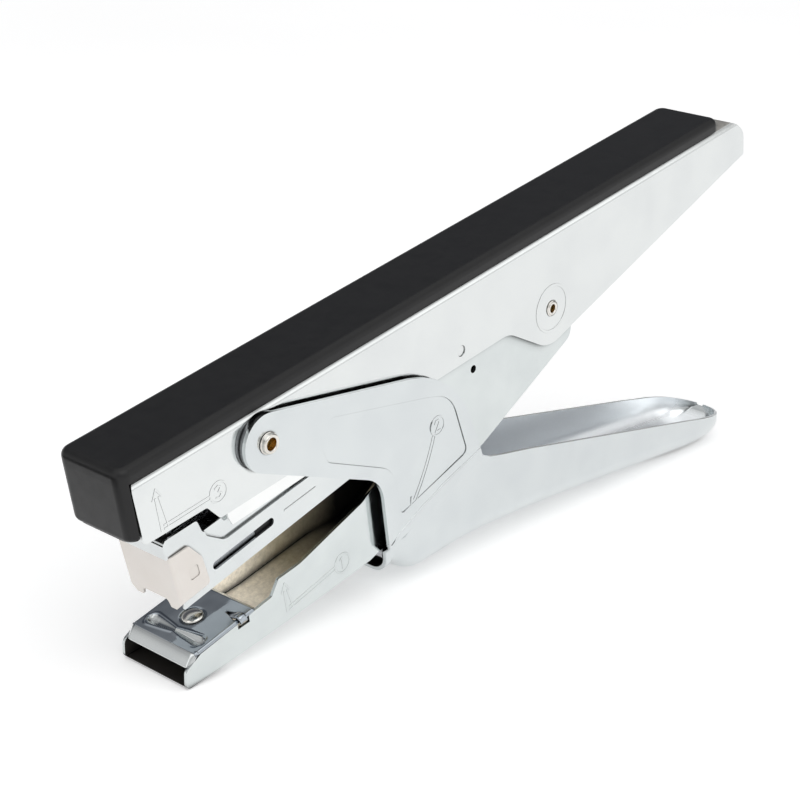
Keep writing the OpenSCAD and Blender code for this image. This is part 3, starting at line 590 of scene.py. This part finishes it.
def top_cover():
    """The moulded cover: a slab with full round corners, and the hood that hangs over the nose."""
    length, half, corner, edge_r = 196.6, 9, 2.6, 1.7
    slab_z = -3.0
    hood_z, hood_x, foot_r = -15.9, 2.0, 1.3    # the hood's foot, its rear face and its foot's round
    lean = 0.3                                  # how far the hood's front leans back at its foot
    past_cut = 12                               # any place well behind the hood's rear face
    bm = bmesh.new()

    slab = [plan_ring(bm, inset, length - inset, half - inset, corner - inset, -drop)
            for inset, drop in quarter_round(edge_r, 10)]
    slab.append(plan_ring(bm, 0, length, half, corner, slab_z))
    skin_rings(bm, slab)

    hood = [plan_ring(bm, 0, past_cut, half, corner, slab_z + 0.4, hood_x)]
    hood += [plan_ring(bm, lean * t, past_cut, half, corner, slab_z + (hood_z + foot_r - slab_z) * t,
                       hood_x + lean * t) for t in (0.5, 1.0)]
    hood += [plan_ring(bm, lean + min(inset, 0.6), past_cut, half - inset, corner, hood_z + rise,
                       hood_x + lean - min(inset, 0.3)) for rise, inset in quarter_round(foot_r, 8)[1:]]
    skin_rings(bm, hood)

    # lugs that snap through the body's top
    for x in (27, 118, 180):
        lug = Matrix.Translation((x, 0, -3.3)) @ Matrix.Diagonal((6, 5, 4, 1))
        bmesh.ops.create_cube(bm, size=1, matrix=lug)
    obj = new_piece("top_cover_finish", bm)
    soft = obj.modifiers.new("normals", "WEIGHTED_NORMAL")
    soft.weight = 90
    soft.keep_sharp = True
    paint(obj, "black_plastic")
    return stands_for(obj, "top_cover")


top_cover()

# Each node with broken edges, and their width in millimetres
for name, width in [("upper_body", 0.14), ("anvil_arm", 0.14), ("magazine", 0.1),
                    ("nose_plate", 0.1), ("guide_rail", 0.1), ("driver_block", 0.2),
                    ("pusher", 0.15), ("lower_handle", 0.12)]:
    broken_edges(name, width)


def pressed_crease():
    """The fold where each cheek of the handle turns into its grip: a fine ridge laid on the sheet."""
    me = NODES["lower_handle"].data
    skin = BVHTree.FromPolygons([v.co for v in me.vertices], [p.vertices for p in me.polygons])
    path = [(96.4, -42.8), (91.2, -43.9), (84.2, -45.2), (75.5, -47.3), (68.6, -49.6), (65.4, -51.3)]
    section = ((-1, -0.12), (-0.6, 0.07), (0, 0.13), (0.5, 0.04), (1, -0.12))   # (share of half, height)
    half, steps, cheek, clear_of_tool = 0.3, 60, 10.8, 30
    bm = bmesh.new()
    for s in (-1, 1):
        rails = []
        for k in range(steps + 1):
            t = k / steps * (len(path) - 1)
            i = min(int(t), len(path) - 2)
            a, b = Vector(path[i]), Vector(path[i + 1])
            p, along = a.lerp(b, t - i), (b - a).normalized()
            across = Vector((-along.y, along.x))
            thin = math.sin(math.pi * min(1.0, 0.08 + k / steps)) ** 0.3 if k else 0.4
            rail = []
            for u, h in section:
                q = p + across * (u * half * thin)
                start = TOOL @ Vector((q.x, s * clear_of_tool, q.y))
                hit = skin.ray_cast(start, Vector((0, -s, 0)))[0]
                y = hit.y / MM if hit else s * cheek
                rail.append(bm.verts.new((q.x, y + s * h, q.y)))
            rails.append(rail)
        for a, b in zip(rails, rails[1:]):
            for j in range(len(section) - 1):
                bm.faces.new((a[j], b[j], b[j + 1], a[j + 1]))
    obj = new_piece("handle_crease", bm)
    paint(obj, "chrome_handle")
    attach(obj, BODY_OF["lower_handle"])


pressed_crease()

# ---------- stage ----------


def plane(name, size, centre):
    me = bpy.data.meshes.new(name)
    h = size / 2
    me.from_pydata([(-h, -h, 0), (h, -h, 0), (h, h, 0), (-h, h, 0)], [], [(0, 1, 2, 3)])
    o = bpy.data.objects.new(name, me)
    o.location = centre
    bpy.context.collection.objects.link(o)
    return o


def matte(obj, name, scale, dark, light, rough, specular):
    """Gives obj a dull, faintly uneven material, and returns its shader."""
    m, nt, s = new_material(name)
    nt.links.new(ramp(nt, noise(nt, scale, 2), dark, light), s.inputs["Base Color"])
    s.inputs["Roughness"].default_value = rough
    s.inputs["Specular IOR Level"].default_value = specular
    obj.data.materials.append(m)
    return s


floor = plane("floor", 8, (0, 0, 0))
floor_shader = matte(floor, "floor_white", 3, 0.86, 0.90, 0.9, 0.2)
floor_shader.inputs["Emission Color"].default_value = (1, 1, 1, 1)
floor_shader.inputs["Emission Strength"].default_value = 0.33

# a black card lying beyond the nose, which only the plate mirrors
card = plane("flag", 0.5, (-0.40, 0.22, 0.002))
matte(card, "flag_black", 5, 0.01, 0.02, 1.0, 0.0)
card.visible_camera = card.visible_diffuse = card.visible_shadow = False


def softbox(name, size, centre, target, watts):
    light = bpy.data.lights.new(name, "AREA")
    light.shape = "RECTANGLE"
    light.size, light.size_y = size
    light.energy = watts
    o = bpy.data.objects.new(name, light)
    o.location = centre
    o.rotation_euler = (Vector(target) - Vector(centre)).to_track_quat("-Z", "Y").to_euler()
    bpy.context.collection.objects.link(o)
    return o


MIDDLE = (0, 0, 0.05)       # the tool's middle, which the large lights face
softbox("key", (1.1, 1.1), (-0.30, -0.55, 1.05), MIDDLE, 3.2)
softbox("side", (0.9, 0.5), (0.55, -0.95, 0.5), MIDDLE, 0.9)
softbox("left", (0.5, 0.9), (-1.0, 0.1, 0.55), MIDDLE, 0.7)

# lights the arm's inside through its open top; the plate does not mirror it
fill = softbox("fill", (0.3, 0.2), (-0.22, -0.36, 0.16), (-0.05, 0, 0.01), 2.2)
fill.visible_glossy = False
only = bpy.data.collections.new("arm_only")
only.objects.link(bpy.data.objects["anvil_arm_finish"])
fill.light_linking.receiver_collection = only


def studio():
    """A white room whose far side is dark above the table, for the plate and the black cover to mirror.

    The camera itself sees plain white.
    """
    world = bpy.data.worlds.new("studio")
    bpy.context.scene.world = world
    world.use_nodes = True
    nt = world.node_tree
    direction = node(nt, "ShaderNodeTexCoord").outputs["Generated"]
    height = maths(nt, "MULTIPLY_ADD", xyz(nt, direction)["Z"], 0.5, 0.5)

    def by_height(stops):
        """Colour by the direction's height, from stops of (-1 straight down to 1 straight up, colour)."""
        return colour_ramp(nt, height, [((h + 1) / 2, c) for h, c in stops])

    near_side = by_height([(-1, 0.9), (0.0, 0.95), (0.25, 0.75), (0.5, 0.55), (0.7, 0.9), (1.0, 1.0)])
    far_side = by_height([(-1, 0.9), (0.0, 0.9), (0.07, 0.5), (0.2, 0.26), (0.45, (0.12, 0.13, 0.15)),
                          (0.66, (0.07, 0.075, 0.09)), (0.85, 0.9)])
    away = node(nt, "ShaderNodeVectorMath", operation="DOT_PRODUCT")
    nt.links.new(direction, away.inputs[0])
    away.inputs[1].default_value = (0.62, 0.78, 0)
    far_share = remap(nt, away.outputs["Value"], 0.05, 0.45, kind="SMOOTHSTEP")
    seen = node(nt, "ShaderNodeLightPath").outputs["Is Camera Ray"]
    room = mix(nt, seen, mix(nt, far_share, near_side, far_side), (1, 1, 1, 1))
    background = nt.nodes["Background"]
    nt.links.new(room, background.inputs["Color"])
    background.inputs["Strength"].default_value = 1.0


studio()
bpy.context.scene.view_settings.view_transform = "Standard"

# ---------- camera ----------

CAMERA_AT = Vector((-0.31172, -0.24873, 0.18532))
LOOK = Vector((0.71272, 0.60550, -0.35411))
SIDE = LOOK.cross(Vector((0.23933, 0.26463, 0.93418))).normalized()
UP = SIDE.cross(LOOK).normalized()

cam_data = bpy.data.cameras.new("camera")
cam_data.sensor_width = 36
cam_data.lens = 85.24
cam_data.clip_start = 0.01
camera = bpy.data.objects.new("camera", cam_data)
bpy.context.collection.objects.link(camera)
camera.matrix_world = Matrix.Translation(CAMERA_AT) @ Matrix((SIDE, UP, -LOOK)).transposed().to_4x4()
bpy.context.scene.camera = camera
